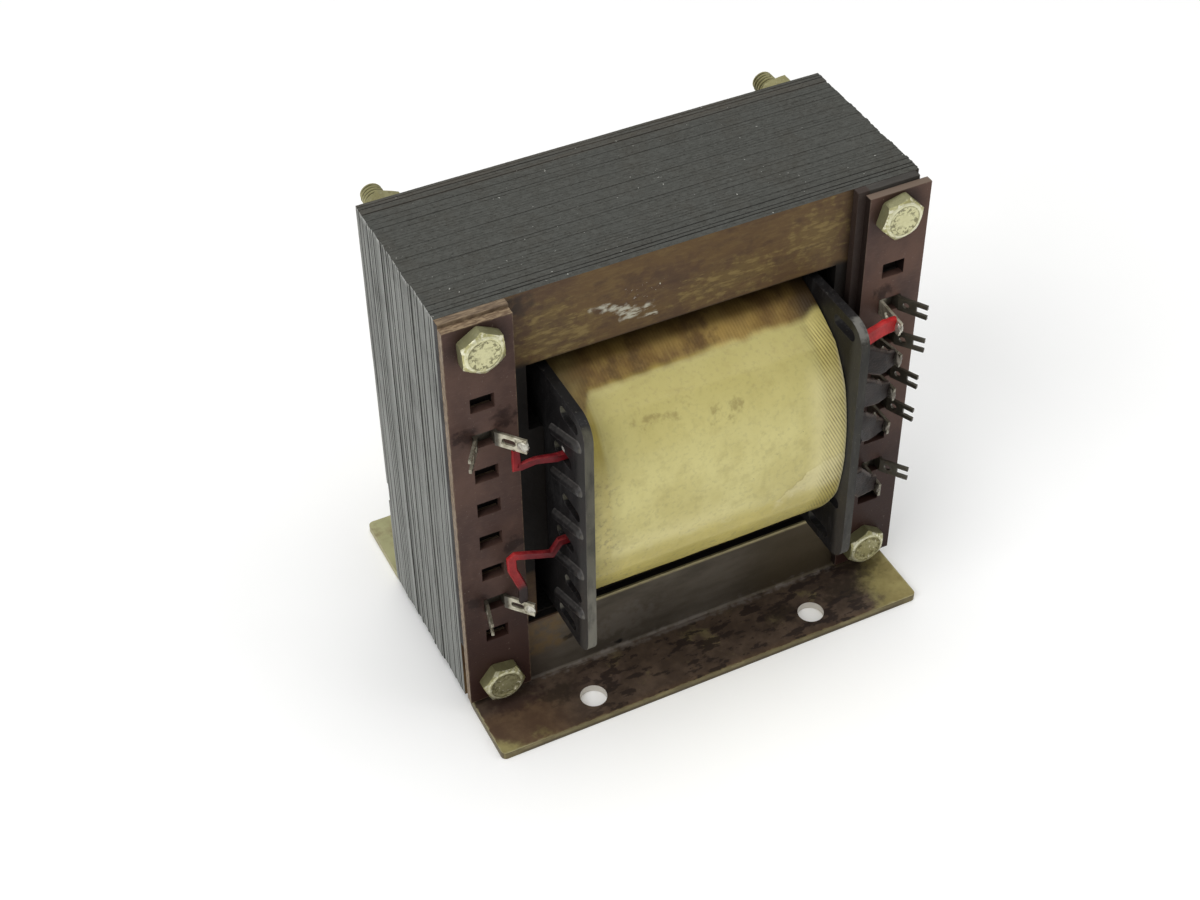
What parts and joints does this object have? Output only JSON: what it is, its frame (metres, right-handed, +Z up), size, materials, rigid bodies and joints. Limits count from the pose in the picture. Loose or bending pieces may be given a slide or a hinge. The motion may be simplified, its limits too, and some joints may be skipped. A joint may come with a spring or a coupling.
{
  "type": "mains transformer",
  "caption": "Laminated mains transformer on two angle feet, with a bulging wrapped coil on a black bobbin, slotted terminal strips with solder tags, and hexagon clamp bolts.",
  "frame": {"origin": "on the ground, at the centre of the four mounting holes, under the core's centre", "axes": "+X to the right along the front, +Y to the back through the stack of sheets, +Z up"},
  "size_m": [0.0858, 0.0638, 0.0873],
  "materials": {
    "core_steel": "varnished, worn",
    "black_moulding": "semi-gloss",
    "copper_wire": "enamelled",
    "insulation_paper": "matt",
    "yellow_wrap": "varnished",
    "paper_board": "satin",
    "spacer_board": "matt",
    "foot_steel": "passivated, stained",
    "zinc_bolts": "yellow zinc",
    "tinned_metal": "tinned",
    "red_sleeve": "satin",
    "dark_sleeve": "varnished"
  },
  "bodies": {
    "root": {"core_stack": "core_steel", "coil_bobbin": "black_moulding", "primary_winding": "copper_wire", "interlayer_insulation": "insulation_paper", "secondary_winding": "copper_wire", "outer_wrap": "yellow_wrap", "left_terminal_strip": "paper_board", "right_terminal_strip": "paper_board", "left_spacer_strip": "spacer_board", "right_spacer_strip": "spacer_board", "front_foot": "foot_steel", "rear_foot": "foot_steel", "clamp_bolts": "zinc_bolts", "clamp_nuts": "zinc_bolts", "rear_washers": "zinc_bolts", "left_upper_terminal": "tinned_metal", "left_lower_terminal": "tinned_metal", "left_upper_lead": "red_sleeve", "left_lower_lead": "red_sleeve", "right_lead_1": "red_sleeve", "right_terminal_1": "tinned_metal", "right_terminal_2": "tinned_metal", "right_terminal_3": "tinned_metal", "right_terminal_4": "tinned_metal", "right_terminal_5": "tinned_metal", "right_lead_2": "dark_sleeve", "right_lead_3": "dark_sleeve", "right_lead_4": "dark_sleeve", "right_lead_5": "dark_sleeve"}
  },
  "joints": []
}
